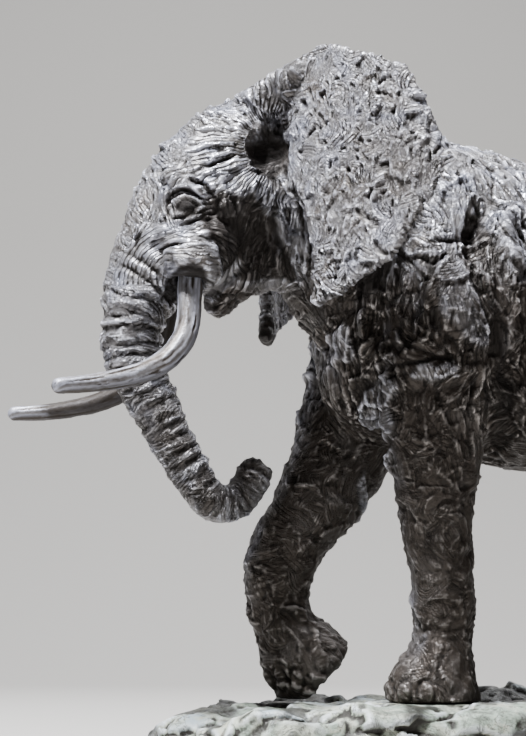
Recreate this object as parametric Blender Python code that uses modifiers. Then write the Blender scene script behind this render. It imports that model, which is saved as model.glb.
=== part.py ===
"""A walking African bull elephant cast in bronze, with its two tusks, on a slab of rough bronze ground.

Metres, +Z up. The elephant walks towards -X, its left side is at -Y, and the origin is the centre of
the ground's flat underside. The figure's pose and proportions are laid out in units: one unit is a
590th of the shoulder height. They are counted from the ground under the standing fore foot.
"""

import math

import bmesh
import bpy
import numpy as np
from mathutils import Matrix, Vector, noise

# Driving dimensions, in metres
SHOULDER_HEIGHT = 0.590
GROUND_LENGTH = 0.900
GROUND_WIDTH = 0.330
GROUND_THICKNESS = 0.048
FIT_GAP = 0.0003
TUSK_ROOT_RADIUS = 0.0132
TUSK_TIP_RADIUS = 0.0078
FAR_TUSK_EXTRA = 0.0140
FAR_TUSK_SAG = 0.0080
SOCKET_CLEARANCE = 0.0005
SOCKET_FLARE = 0.0040

# The figure's layout
UNIT = SHOULDER_HEIGHT / 590
FIGURE_X = -0.150
SOLE_HEIGHT = GROUND_THICKNESS + FIT_GAP
ORIGIN = np.array([FIGURE_X, 0.0, SOLE_HEIGHT])

# Fineness of the solids
VOXEL = 0.0032
RING_SIDES = 28
TUSK_SIDES = 10
FIGURE_TRIANGLES = 6900
GROUND_ROWS = 33
GROUND_COLUMNS = 15

# Colour, metallic and roughness of each bronze
BRONZE = ((0.165, 0.155, 0.150), 0.85, 0.42)
TUSK_BRONZE = ((0.360, 0.350, 0.370), 0.95, 0.28)
GROUND_BRONZE = ((0.330, 0.375, 0.330), 0.55, 0.55)

# Each station of a limb is x, y, z, half its size fore and aft, half its size across, in units.
NEAR_FORELEG = [
    (14, -56, 500, 40, 26),
    (14, -68, 440, 62, 38),
    (6, -75, 380, 62, 42),
    (0, -74, 330, 56, 42),
    (0, -70, 275, 49, 39),
    (3, -64, 223, 42, 36),
    (5, -58, 185, 37, 33),
    (9, -55, 139, 32, 30),
    (14, -53, 95, 31, 29),
    (13, -52, 62, 28, 28),
    (9, -52, 40, 34, 34),
    (3, -52, 18, 45, 42),
    (2, -52, 0, 47, 43),
    (2, -52, -16, 47, 43),
]
FAR_FORELEG = [
    (4, 54, 480, 44, 28),
    (0, 66, 410, 60, 40),
    (-20, 68, 350, 58, 42),
    (-40, 64, 295, 54, 41),
    (-64, 58, 240, 50, 38),
    (-92, 54, 192, 41, 34),
    (-115, 52, 160, 37, 31),
    (-128, 52, 128, 35, 30),
    (-128, 52, 98, 31, 28),
    (-121, 52, 74, 31, 29),
    (-108, 52, 50, 40, 37),
    (-93, 52, 32, 45, 42),
    (-85, 52, 24, 44, 41),
]
NEAR_HIND_LEG = [
    (412, -46, 510, 50, 30),
    (408, -64, 440, 82, 44),
    (396, -72, 370, 88, 48),
    (380, -74, 310, 76, 46),
    (372, -70, 255, 56, 41),
    (388, -64, 205, 40, 35),
    (416, -60, 160, 33, 31),
    (438, -57, 120, 32, 29),
    (450, -56, 84, 30, 29),
    (454, -56, 52, 32, 31),
    (450, -56, 26, 40, 38),
    (447, -56, 0, 43, 40),
    (447, -56, -16, 43, 40),
]
FAR_HIND_LEG = [
    (408, 46, 510, 50, 30),
    (394, 64, 440, 82, 44),
    (368, 72, 370, 86, 48),
    (340, 74, 310, 74, 46),
    (320, 70, 255, 55, 41),
    (318, 64, 205, 41, 36),
    (328, 60, 160, 34, 31),
    (336, 57, 120, 32, 29),
    (334, 56, 84, 30, 29),
    (328, 56, 52, 32, 31),
    (318, 56, 26, 41, 38),
    (314, 56, 0, 44, 40),
    (314, 56, -16, 44, 40),
]
JAW = [
    (-112, 0, 474, 46, 50),
    (-140, 0, 456, 42, 46),
    (-170, 0, 436, 28, 33),
    (-192, 0, 416, 19, 24),
    (-204, 0, 400, 14, 18),
    (-211, 0, 386, 9, 11),
]
EAR_MUSCLE = [
    (-182, 14, 590, 20, 18),
    (-170, 42, 598, 19, 16),
    (-156, 72, 610, 15, 13),
    (-145, 92, 621, 10, 9),
    (-137, 104, 629, 6, 5),
]
NECK = [
    (-185, 0, 530, 56, 50),
    (-145, 0, 514, 68, 58),
    (-100, 0, 492, 82, 70),
    (-50, 0, 460, 102, 86),
    (10, 0, 430, 132, 94),
]
TAIL = [
    (470, 0, 500, 20, 20),
    (492, 0, 486, 18, 17),
    (510, 1, 462, 14, 14),
    (520, 3, 425, 10, 10),
    (524, 6, 380, 8, 8),
    (524, 10, 335, 7, 7),
    (521, 13, 300, 7, 9),
    (518, 15, 272, 9, 13),
    (514, 16, 246, 7, 10),
    (512, 17, 226, 3, 5),
]

# Each section of the head and trunk runs from a point on its front outline, x and z, to one on its
# back outline, x and z, and has half a width across.
HEAD_AND_TRUNK = [
    (-192, 609, -150, 612, 16),
    (-218, 597, -136, 600, 38),
    (-242, 578, -126, 586, 50),
    (-264, 555, -122, 563, 58),
    (-280, 530, -122, 538, 63),
    (-293, 502, -128, 508, 65),
    (-303, 476, -142, 478, 62),
    (-312, 450, -165, 448, 56),
    (-319, 424, -200, 420, 50),
    (-323, 400, -238, 400, 43),
    (-324, 374, -259, 378, 37),
    (-323, 350, -264, 354, 32),
    (-317, 325, -262, 334, 29),
    (-305, 302, -254, 314, 27),
    (-289, 276, -244, 290, 25),
    (-269, 245, -230, 262, 23),
    (-249, 214, -217, 236, 21),
    (-232, 191, -208, 219, 20),
    (-212, 177, -200, 211, 20),
    (-188, 177, -193, 212, 20),
    (-168, 190, -187, 222, 19),
    (-154, 210, -181, 234, 18),
    (-148, 226, -171, 244, 15),
]

# Each station of the barrel is x, top z, z of the widest level, bottom z, half width.
TORSO = [
    (-90, 430, 376, 322, 28),
    (-78, 500, 392, 292, 60),
    (-50, 548, 400, 270, 88),
    (-10, 571, 402, 258, 102),
    (40, 579, 400, 250, 109),
    (95, 569, 392, 242, 117),
    (165, 548, 384, 234, 126),
    (235, 543, 382, 228, 130),
    (305, 557, 388, 228, 127),
    (365, 574, 398, 238, 118),
    (415, 571, 408, 262, 106),
    (460, 545, 415, 300, 86),
    (492, 500, 420, 345, 58),
    (508, 455, 422, 388, 22),
]

# Rounded masses of the head: centre, three radii, and a turn in degrees about Y, each with a twin.
MASSES = [
    ((-234, 45, 450), (46, 26, 36), 14),
    ((-245, 53, 428), (28, 27, 30), 0),
    ((-244, 46, 503), (32, 16, 11), 24),
    ((-124, 50, 545), (28, 28, 56), 8),
    ((-250, 58, 480), (14, 12, 12), 0),
    ((-190, 50, 506), (50, 17, 28), -10),
]

# Swellings and hollows worked into the surface: centre, three radii, and how far out, in units.
# One with a y gets a twin.
RELIEF = [
    ((-172, 66, 548), (26, 30, 28), -8),
    ((-198, 62, 430), (20, 24, 38), -7),
    ((-150, 60, 470), (34, 40, 40), -10),
    ((-240, 66, 492), (24, 18, 7), -4),
    ((-228, 68, 474), (14, 18, 14), -4),
    ((-235, 30, 575), (34, 26, 30), 4),
    ((15, 70, 520), (60, 50, 80), 7),
    ((45, 90, 380), (44, 40, 110), 10),
    ((94, 110, 400), (22, 50, 130), -13),
    ((-40, 90, 400), (26, 40, 70), -8),
    ((15, 70, 235), (34, 40, 30), 5),
    ((375, 70, 545), (50, 40, 30), 8),
    ((430, 70, 500), (40, 40, 50), 8),
    ((318, 116, 430), (34, 50, 80), -9),
    ((345, 96, 280), (30, 40, 46), 8),
    ((215, 120, 360), (90, 60, 90), 5),
    ((470, 40, 400), (30, 30, 60), -6),
]

# Folds of loose skin: a line of points, a width and a depth, in units. Each gets a twin.
FOLDS = [
    ([(80, 104, 470), (88, 116, 400), (78, 108, 330), (54, 96, 268)], 10, 7),
    ([(-72, 74, 470), (-62, 86, 410), (-68, 80, 350)], 9, 6),
    ([(-102, 56, 440), (-94, 62, 390), (-98, 48, 345)], 8, 5),
    ([(-38, 92, 450), (-28, 100, 390), (-34, 96, 330)], 8, 5),
    ([(316, 120, 430), (328, 112, 350), (336, 98, 285)], 10, 6),
    ([(-208, 66, 400), (-202, 66, 425), (-204, 62, 452), (-214, 62, 470)], 7, 6),
    ([(-262, 60, 490), (-250, 68, 497), (-236, 66, 492), (-226, 64, 480)], 4, 4),
    ([(-262, 62, 470), (-250, 68, 464), (-238, 66, 467)], 4, 3),
    ([(-30, 90, 214), (6, 100, 205), (44, 92, 214)], 6, 3),
]

# The near tusk's middle line in units. The far one reaches further forward and sags more.
TUSK_LINE = [
    (-240, 45, 436),
    (-245, 51, 412),
    (-248, 59, 388),
    (-250, 65, 366),
    (-257, 72, 346),
    (-271, 79, 328),
    (-290, 86, 315),
    (-312, 93, 306),
    (-334, 100, 300),
    (-358, 106, 295),
    (-381, 112, 292),
]
# How deep the socket runs before it flares, and where its flare ends, as heights in units.
SOCKET_FLARE_HEIGHTS = (428, 406)
SOCKET_LENGTH = 4

# The planted feet, x and y in units, and the level pad that each stands on.
PLANTED_FEET = [(2, -52), (447, -56), (314, 56)]
PAD_RADIUS = 58
# Lumps of the ground: x, y, radius and height in units, counted from the level of the pads.
LUMPS = [
    (92, 62, 44, 11),
    (150, 96, 60, 9),
    (-70, 118, 40, 6),
    (214, -74, 60, 6),
    (-214, -30, 54, -4),
    (520, 30, 50, 5),
]

# An ear's outline in units: out from its root line along the skin, and height above the ground.
EAR_OUTLINE = [
    (0, 606),
    (28, 620),
    (45, 634),
    (63, 641),
    (92, 632),
    (124, 618),
    (158, 600),
    (168, 572),
    (181, 538),
    (184, 516),
    (172, 478),
    (152, 454),
    (126, 420),
    (100, 404),
    (69, 391),
    (41, 383),
    (16, 384),
    (26, 410),
    (23, 448),
    (10, 480),
    (-10, 505),
    (-12, 535),
    (-6, 570),
]
EAR_MIDDLE = (70, 515)
EAR_ROOT = ((-150, 60, 590), (-138, 70, 420))
EAR_FLARE = (74, 30)
FAR_EAR_LOBE = (-14, -8)
EAR_REACH = 190
EAR_THICKNESS = (17, 6.5)


def smooth_rows(rows, steps):
    """Rows of numbers carried along a smooth curve through the rows given, `steps` to each span."""
    rows = np.array(rows, float)
    ends = np.vstack([2 * rows[0] - rows[1], rows, 2 * rows[-1] - rows[-2]])
    made = []
    for i in range(len(rows) - 1):
        a, b, c, d = ends[i : i + 4]
        for t in np.arange(steps) / steps:
            cubic = (3 * b - a - 3 * c + d) * t**3
            square = (2 * a - 5 * b + 4 * c - d) * t**2
            made.append(0.5 * (2 * b + (c - a) * t + square + cubic))
    made.append(rows[-1])
    return np.array(made)


def placed(points):
    """Points of the figure's layout, in metres."""
    return np.asarray(points, float) * UNIT + ORIGIN


def skinned(name, rings):
    """A closed mesh over rings of equal size, closed by a fan of triangles at each end."""
    count, sides = rings.shape[:2]
    points = np.vstack([rings.reshape(-1, 3), rings[0].mean(0), rings[-1].mean(0)])
    first, last = count * sides, count * sides + 1
    faces = []
    for k in range(sides):
        after = (k + 1) % sides
        for i in range(count - 1):
            low, high = i * sides, (i + 1) * sides
            faces.append((low + k, low + after, high + after, high + k))
        faces.append((first, after, k))
        faces.append((last, (count - 1) * sides + k, (count - 1) * sides + after))
    mesh = bpy.data.meshes.new(name)
    mesh.from_pydata([tuple(p) for p in points], [], faces)
    return outward(mesh)


def outward(mesh):
    """The same mesh with every face turned to point out."""
    work = bmesh.new()
    work.from_mesh(mesh)
    bmesh.ops.recalc_face_normals(work, faces=work.faces)
    work.to_mesh(mesh)
    work.free()
    return mesh


def limb(name, stations, steps=4, sides=RING_SIDES):
    """A loft of elliptical rings square to a line through the stations."""
    rows = smooth_rows(stations, steps)
    line = rows[:, :3]
    along = np.gradient(line, axis=0)
    along /= np.linalg.norm(along, axis=1)[:, None]
    across = np.array([0.0, 1.0, 0.0]) - along * along[:, 1:2]
    across /= np.linalg.norm(across, axis=1)[:, None]
    ahead = np.cross(along, across)
    turn = np.linspace(0, 2 * math.pi, sides, endpoint=False)[None, :, None]
    rings = (
        line[:, None]
        + np.cos(turn) * ahead[:, None] * rows[:, None, 3:4]
        + np.sin(turn) * across[:, None] * rows[:, None, 4:5]
    )
    return skinned(name, placed(rings))


def profile(name, sections, steps=4):
    """A loft of elliptical rings, each spanning from the front outline to the back one."""
    rows = smooth_rows(sections, steps)
    nothing = np.zeros(len(rows))
    front = np.stack([rows[:, 0], nothing, rows[:, 1]], axis=1)
    back = np.stack([rows[:, 2], nothing, rows[:, 3]], axis=1)
    across = np.stack([nothing, rows[:, 4], nothing], axis=1)
    turn = np.linspace(0, 2 * math.pi, RING_SIDES, endpoint=False)[None, :, None]
    middle, half = (front + back) / 2, (front - back) / 2
    rings = middle[:, None] + np.cos(turn) * half[:, None] + np.sin(turn) * across[:, None]
    return skinned(name, placed(rings))


def barrel(name, stations, steps=4):
    """The trunk of the body: upright sections, narrow along the spine and full below."""
    rows = smooth_rows(stations, steps)
    turn = np.linspace(0, 2 * math.pi, RING_SIDES * 2, endpoint=False)
    rings = []
    for x, top, middle, bottom, half in rows:
        up = np.sin(turn)
        out = np.sign(np.cos(turn)) * np.abs(np.cos(turn)) ** 0.92
        height = np.where(up > 0, middle + up * (top - middle), middle + up * (middle - bottom))
        narrowing = 1 - 0.16 * np.clip(up, 0, 1) ** 2
        rings.append(np.stack([np.full_like(up, x), out * half * narrowing, height], axis=1))
    return skinned(name, placed(rings))


def mass(name, centre, radii, turn_degrees):
    """A rounded mass of muscle or bone."""
    mesh = bpy.data.meshes.new(name)
    work = bmesh.new()
    bmesh.ops.create_uvsphere(work, u_segments=24, v_segments=16, radius=1.0)
    shape = Matrix.Diagonal(Vector([r * UNIT for r in radii])).to_4x4()
    turn = Matrix.Rotation(math.radians(turn_degrees), 4, "Y")
    work.transform(Matrix.Translation(Vector(placed(centre))) @ turn @ shape)
    work.to_mesh(mesh)
    work.free()
    return mesh


def ear_point(out, height, side):
    """Where a point of the ear's outline lies: it leaves the skull steeply and curves back."""
    top, bottom = (np.array(p, float) for p in EAR_ROOT)
    share = (top[2] - height) / (top[2] - bottom[2])
    root = top + (bottom - top) * share
    first, last = (math.radians(a) for a in EAR_FLARE)
    bend = (first - last) / EAR_REACH
    angle = first - bend * out
    x = root[0] + (math.sin(first) - math.sin(angle)) / bend
    y = root[1] + (math.cos(angle) - math.cos(first)) / bend
    return np.array([x, side * y, height])


def ear(name, side):
    """An ear: a curved plate inside its outline, thick at the root and thin at the edge."""
    outline = smooth_rows(EAR_OUTLINE + EAR_OUTLINE[:1], 3)[:-1]
    if side > 0:
        low = np.clip((470 - outline[:, 1]) / 60, 0, 1) * np.clip((80 - outline[:, 0]) / 50, 0, 1)
        outline = outline + low[:, None] * FAR_EAR_LOBE
    middle = np.array(EAR_MIDDLE, float)
    shares = (0.0001, 0.2, 0.4, 0.6, 0.8, 0.93, 1.0)
    faces_of_plate = []
    for direction in (1, -1):
        sheet = []
        for share in shares:
            ring = []
            for out, height in middle + (outline - middle) * share:
                here = ear_point(out, height, side)
                beside = ear_point(out + 1, height, side) - here
                above = ear_point(out, height + 1, side) - here
                normal = np.cross(beside, above)
                normal /= np.linalg.norm(normal)
                thick, thin = EAR_THICKNESS
                half = 0.5 * (thin + (thick - thin) * np.clip(1 - out / 70, 0, 1))
                ring.append(here + normal * half * direction * (1 - 0.45 * share**6))
            sheet.append(ring)
        faces_of_plate.append(sheet)
    rings = faces_of_plate[0] + faces_of_plate[1][::-1]
    return skinned(name, placed(np.array(rings)))


def joined(name, meshes):
    """One mesh holding all of these."""
    work = bmesh.new()
    for mesh in meshes:
        work.from_mesh(mesh)
        bpy.data.meshes.remove(mesh)
    made = bpy.data.meshes.new(name)
    work.to_mesh(made)
    work.free()
    return made


def evaluated_copy(obj):
    """The object's mesh with its modifiers applied."""
    graph = bpy.context.evaluated_depsgraph_get()
    return bpy.data.meshes.new_from_object(obj.evaluated_get(graph))


def figure_meshes():
    """Every mass of the figure, before they are worked into one body."""
    meshes = [
        barrel("torso", TORSO),
        limb("neck", NECK),
        profile("head_and_trunk", HEAD_AND_TRUNK),
        limb("jaw", JAW),
        limb("near_foreleg", NEAR_FORELEG),
        limb("far_foreleg", FAR_FORELEG),
        limb("near_hind_leg", NEAR_HIND_LEG),
        limb("far_hind_leg", FAR_HIND_LEG),
        limb("tail", TAIL),
        ear("near_ear", -1),
        ear("far_ear", 1),
    ]
    for side in (-1, 1):
        for (x, y, z), radii, turn in MASSES:
            meshes.append(mass("mass", (x, side * y, z), radii, turn))
        muscle = [(x, side * y, z, deep, wide) for x, y, z, deep, wide in EAR_MUSCLE]
        meshes.append(limb("ear_muscle", muscle))
    return meshes


def fall_off(distance):
    """1 at no distance, running smoothly to 0 at a distance of 1."""
    return np.clip(1 - distance**2, 0, 1) ** 2


def swell(points, normals, centre, radii, amount):
    """Moves the surface out, or in, around a centre."""
    distance = np.linalg.norm((points - centre) / radii, axis=1)
    return points + normals * (amount * fall_off(distance))[:, None]


def fold(points, normals, line, width, depth):
    """Presses a groove along a line, with a soft lip on each side of it."""
    path = smooth_rows(line, 40)
    reach = 3 * width
    near = np.all((points > path.min(0) - reach) & (points < path.max(0) + reach), axis=1)
    some = points[near]
    distance = np.linalg.norm(some[:, None] - path[None], axis=2).min(1) / width
    shape = 0.45 * np.exp(-((distance - 1.5) ** 2) / 0.35) - np.exp(-(distance**2))
    moved = points.copy()
    moved[near] += normals[near] * (depth * shape)[:, None]
    return moved


def work_surface(mesh):
    """Works the swellings, hollows and folds into the figure's mesh."""
    points = np.empty(len(mesh.vertices) * 3, np.float32)
    mesh.vertices.foreach_get("co", points)
    points = (points.reshape(-1, 3) - ORIGIN) / UNIT
    normals = np.empty(len(mesh.vertices) * 3, np.float32)
    mesh.vertex_normals.foreach_get("vector", normals)
    normals = normals.reshape(-1, 3)
    for side in (-1, 1):
        flip = np.array([1, side, 1])
        for centre, radii, amount in RELIEF:
            points = swell(points, normals, np.array(centre) * flip, radii, amount)
        for line, width, depth in FOLDS:
            points = fold(points, normals, np.array(line) * flip, width, depth)
    mesh.vertices.foreach_set("co", placed(points).astype(np.float32).ravel())
    mesh.update()


def largest_body(work):
    """Keeps only the largest closed shell of a bmesh."""
    work.verts.ensure_lookup_table()
    waiting = set(work.verts)
    largest = set()
    while waiting:
        shell = {waiting.pop()}
        edge = list(shell)
        while edge:
            here = edge.pop()
            for link in here.link_edges:
                other = link.other_vert(here)
                if other not in shell:
                    shell.add(other)
                    edge.append(other)
        waiting -= shell
        if len(shell) > len(largest):
            largest = shell
    stray = [v for v in work.verts if v not in largest]
    bmesh.ops.delete(work, geom=stray, context="VERTS")


def cut_soles(mesh):
    """Cuts the planted feet off flat where they meet the ground."""
    work = bmesh.new()
    work.from_mesh(mesh)
    largest_body(work)
    everything = work.verts[:] + work.edges[:] + work.faces[:]
    level = Vector((0, 0, SOLE_HEIGHT))
    bmesh.ops.bisect_plane(work, geom=everything, dist=1e-6, plane_co=level, plane_no=(0, 0, 1), clear_inner=True)
    rims = [e for e in work.edges if e.is_boundary]
    soles = bmesh.ops.holes_fill(work, edges=rims, sides=0)["faces"]
    bmesh.ops.triangulate(work, faces=soles)
    bmesh.ops.recalc_face_normals(work, faces=work.faces)
    work.to_mesh(mesh)
    work.free()


def tusk_stations(side, spare):
    """The middle line of a tusk with its radius, in units. `spare` is added to the radius."""
    rows = []
    root = TUSK_LINE[0][0]
    extra = FAR_TUSK_EXTRA / UNIT if side > 0 else 0.0
    sag = FAR_TUSK_SAG / UNIT if side > 0 else 0.0
    reach = 1 + extra / (root - TUSK_LINE[-1][0])
    slim = (TUSK_ROOT_RADIUS - TUSK_TIP_RADIUS) / UNIT
    for k, (x, y, z) in enumerate(TUSK_LINE):
        share = k / (len(TUSK_LINE) - 1)
        radius = TUSK_ROOT_RADIUS / UNIT - slim * share**1.6 + spare
        drop = sag * share * math.sin(math.pi * share)
        rows.append((root + (x - root) * reach, side * y, z - drop, radius, radius))
    return rows


def tusk(name, side, collection):
    """A tusk: round, slim towards its blunt tip, with a rounded end."""
    rows = tusk_stations(side, 0)
    near, tip = (np.array(r[:3], float) for r in rows[-2:])
    ahead = (tip - near) / np.linalg.norm(tip - near)
    radius = rows[-1][3]
    rounded = [(0.45, 0.90), (0.80, 0.62), (0.98, 0.22)]
    for out, share in rounded:
        point = tip + ahead * radius * out
        rows.append((*point, radius * share, radius * share))
    obj = bpy.data.objects.new(name, limb(name, rows, 2, TUSK_SIDES))
    collection.objects.link(obj)
    return obj


def socket(name, side, cutters):
    """The hollow that a tusk stands in: a close fit inside, open in a flare at the rim."""
    first, last = SOCKET_FLARE_HEIGHTS
    rows = []
    for x, y, z, radius, _ in tusk_stations(side, SOCKET_CLEARANCE / UNIT)[:SOCKET_LENGTH]:
        opened = np.clip((first - z) / (first - last), 0, 1) * SOCKET_FLARE / UNIT
        rows.append((x, y, z, radius + opened, radius + opened))
    inner, after = (np.array(r[:3], float) for r in rows[:2])
    deeper = inner + (inner - after) / np.linalg.norm(inner - after) * SOCKET_CLEARANCE / UNIT
    rows[0] = (*deeper, rows[0][3], rows[0][4])
    obj = bpy.data.objects.new(name, limb(name, rows, 3, TUSK_SIDES))
    cutters.objects.link(obj)
    obj.hide_render = True
    obj.display_type = "WIRE"
    return obj


def elephant(collection, cutters):
    """The figure as one solid, with a socket for each tusk."""
    body = bpy.data.objects.new("elephant", joined("elephant", figure_meshes()))
    collection.objects.link(body)
    remesh = body.modifiers.new("one_body", "REMESH")
    remesh.mode = "VOXEL"
    remesh.voxel_size = VOXEL
    smooth = body.modifiers.new("soften", "SMOOTH")
    smooth.factor = 0.5
    smooth.iterations = 10
    body.data = evaluated_copy(body)
    body.modifiers.clear()
    work_surface(body.data)
    body.data.calc_loop_triangles()
    fewer = body.modifiers.new("fewer_faces", "DECIMATE")
    fewer.ratio = FIGURE_TRIANGLES / len(body.data.loop_triangles)
    fewer.use_collapse_triangulate = True
    body.data = evaluated_copy(body)
    body.modifiers.clear()
    body.data.name = "elephant"
    cut_soles(body.data)
    for side, hand in ((-1, "left"), (1, "right")):
        cut = body.modifiers.new(hand + "_socket", "BOOLEAN")
        cut.operation = "DIFFERENCE"
        cut.solver = "EXACT"
        cut.object = socket(hand + "_socket", side, cutters)
    return body


def ground_height(x, y):
    """The ground's level in metres at a place given in units of the figure's layout."""
    place = Vector((x / 62, y / 62, 0.7))
    rough = noise.noise(place) * 12 + (0.3 - abs(noise.noise(place * 2.1))) * 16
    fall = np.clip((-150 - x) / 150, 0, 1) * 16
    level = -6 - fall + rough
    for lump_x, lump_y, radius, height in LUMPS:
        near = math.hypot(x - lump_x, y - lump_y) / radius
        level += (height + 6) * math.exp(-2 * near * near)
    for foot_x, foot_y in PLANTED_FEET:
        away = math.hypot(x - foot_x, y - foot_y)
        share = np.clip((away - PAD_RADIUS) / 46, 0, 1)
        level = min(level, 20 * share) * share
    raised_x, raised_y = FAR_FORELEG[-1][0] - 20, FAR_FORELEG[-1][1]
    away = math.hypot(x - raised_x, y - raised_y)
    level = min(level, -4 + 14 * np.clip((away - 50) / 60, 0, 1))
    return GROUND_THICKNESS + level * UNIT


def ground(collection):
    """The slab of rough ground: an uneven top and sides on a flat underside."""
    half_length, half_width = GROUND_LENGTH / 2, GROUND_WIDTH / 2
    rows, columns = GROUND_ROWS, GROUND_COLUMNS
    work = bmesh.new()
    grid = {}
    outline = []

    def plan(u, v, size):
        """Where a grid place falls on the slab: a rectangle with much rounded, uneven corners."""
        x = half_length * u * math.sqrt(1 - 0.42 * v * v)
        y = half_width * v * math.sqrt(1 - 0.42 * u**4)
        spread = (1 / math.sqrt(1 - 0.42) - 1) * (u * v) ** 2 * 0.2
        edge = max(abs(u), abs(v)) ** 6
        turn = math.atan2(y, x)
        wave = noise.noise(Vector((3.1 * math.cos(turn), 3.1 * math.sin(turn), 4.0)))
        share = size * (1 + spread) * (1 + 0.045 * edge * (wave - 0.6))
        return x * share, y * share

    for i in range(rows):
        for j in range(columns):
            u, v = 2 * i / (rows - 1) - 1, 2 * j / (columns - 1) - 1
            x, y = plan(u, v, 0.965)
            height = ground_height((x - FIGURE_X) / UNIT, y / UNIT)
            rim = max(abs(u), abs(v)) > 0.999
            if rim:
                height -= 0.006 + 0.006 * noise.noise(Vector((x * 40, y * 40, 1.5)))
            grid[i, j] = work.verts.new((x, y, height))
    for i in range(rows - 1):
        for j in range(columns - 1):
            work.faces.new((grid[i, j], grid[i + 1, j], grid[i + 1, j + 1], grid[i, j + 1]))
    around = [(i, 0) for i in range(rows - 1)] + [(rows - 1, j) for j in range(columns - 1)]
    around += [(i, columns - 1) for i in range(rows - 1, 0, -1)] + [(0, j) for j in range(columns - 1, 0, -1)]
    walls = [[grid[place] for place in around]]
    for size, share in ((0.992, 0.52), (1.0, 0.0)):
        wall = []
        for i, j in around:
            u, v = 2 * i / (rows - 1) - 1, 2 * j / (columns - 1) - 1
            x, y = plan(u, v, size)
            top = grid[i, j].co.z
            ragged = 0.14 * noise.noise(Vector((x * 45, y * 45, 8.0)))
            height = top * (share + ragged) if share else 0.0
            wall.append(work.verts.new((x, y, height)))
        walls.append(wall)
    for upper, lower in zip(walls, walls[1:]):
        for k in range(len(around)):
            after = (k + 1) % len(around)
            work.faces.new((upper[k], lower[k], lower[after], upper[after]))
    work.faces.new(walls[-1][::-1])
    bmesh.ops.recalc_face_normals(work, faces=work.faces)
    mesh = bpy.data.meshes.new("ground")
    work.to_mesh(mesh)
    work.free()
    obj = bpy.data.objects.new("ground", mesh)
    collection.objects.link(obj)
    return obj


def finish(obj, look):
    """Gives an object its material and smooth shading."""
    colour, metallic, roughness = look
    material = bpy.data.materials.new(obj.name + "_bronze")
    material.use_nodes = True
    shader = material.node_tree.nodes["Principled BSDF"]
    shader.inputs["Base Color"].default_value = (*colour, 1.0)
    shader.inputs["Metallic"].default_value = metallic
    shader.inputs["Roughness"].default_value = roughness
    obj.data.materials.clear()
    obj.data.materials.append(material)
    obj.data.polygons.foreach_set("use_smooth", [True] * len(obj.data.polygons))


def main():
    """Builds the sculpture: the ground, the figure, and the two tusks in their sockets."""
    for obj in list(bpy.data.objects):
        bpy.data.objects.remove(obj)
    collection = bpy.data.collections.new("bronze_elephant")
    cutters = bpy.data.collections.new("cutters")
    bpy.context.scene.collection.children.link(collection)
    bpy.context.scene.collection.children.link(cutters)
    finish(ground(collection), GROUND_BRONZE)
    finish(elephant(collection, cutters), BRONZE)
    finish(tusk("left_tusk", -1, collection), TUSK_BRONZE)
    finish(tusk("right_tusk", 1, collection), TUSK_BRONZE)


main()
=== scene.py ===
"""The looks of the bronze elephant: clay strokes, folds and cuts worked into dense meshes over the solids."""

import math
from types import SimpleNamespace

import bpy
import numpy as np
from mathutils import Matrix, Vector, kdtree


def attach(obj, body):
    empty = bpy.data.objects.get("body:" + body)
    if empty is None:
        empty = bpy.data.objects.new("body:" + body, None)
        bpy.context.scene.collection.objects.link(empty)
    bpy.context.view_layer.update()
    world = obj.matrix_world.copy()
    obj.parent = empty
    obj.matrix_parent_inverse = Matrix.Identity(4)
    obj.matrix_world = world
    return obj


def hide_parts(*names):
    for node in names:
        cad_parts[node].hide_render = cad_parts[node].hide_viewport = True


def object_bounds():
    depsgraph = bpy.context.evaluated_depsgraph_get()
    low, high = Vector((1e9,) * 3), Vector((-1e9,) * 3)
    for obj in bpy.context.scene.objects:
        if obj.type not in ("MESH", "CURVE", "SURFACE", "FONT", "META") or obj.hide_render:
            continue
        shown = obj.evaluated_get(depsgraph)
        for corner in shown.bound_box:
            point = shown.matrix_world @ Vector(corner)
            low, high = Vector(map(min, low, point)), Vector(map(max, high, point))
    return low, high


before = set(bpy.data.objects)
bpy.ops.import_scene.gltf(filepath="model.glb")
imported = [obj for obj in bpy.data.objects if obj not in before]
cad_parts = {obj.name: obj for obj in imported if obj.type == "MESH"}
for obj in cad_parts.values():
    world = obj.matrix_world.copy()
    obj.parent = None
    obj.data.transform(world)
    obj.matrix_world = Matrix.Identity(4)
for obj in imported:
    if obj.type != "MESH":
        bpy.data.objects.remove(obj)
cad_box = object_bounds()

# The figure's own layout is in millimetres, from ORIGIN, by the sole of its standing forefoot
SOLE_HEIGHT = 0.0483
ORIGIN = np.array([-0.15, 0, SOLE_HEIGHT])
# How fine the meshes are and how near they come to the CAD model's box, in metres
FIGURE_VOXEL = 0.002
GROUND_VOXEL = 0.0032
TUSK_VOXEL = 0.0015
BOX_MARGIN = 0.00005
# The most triangles in one piece of the figure
PIECE_TRIANGLES = 190000


# Noise and small sums


def lattice(cells, seed):
    """A number from -1 to 1 for each whole-numbered cell."""
    x, y, z = (cells[..., k].astype(np.int64) for k in range(3))
    mixed = (x * 374761393 + y * 668265263 + z * 2147483647 + seed * 1274126177) & 0xFFFFFFFF
    mixed = ((mixed ^ (mixed >> 13)) * 1274126177) & 0xFFFFFFFF
    mixed = mixed ^ (mixed >> 16)
    return (mixed & 0xFFFF) / 32767.5 - 1.0


def noise(points, size, seed):
    """Smooth noise from -1 to 1 whose lumps are about `size` wide."""
    scaled = points / size + 100.0
    cell = np.floor(scaled)
    part = scaled - cell
    part = part * part * (3 - 2 * part)
    total = np.zeros(len(points))
    for corner in range(8):
        step = np.array([corner & 1, corner >> 1 & 1, corner >> 2 & 1])
        weight = np.prod(np.where(step, part, 1 - part), axis=1)
        total += weight * lattice(cell + step, seed)
    return total


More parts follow.
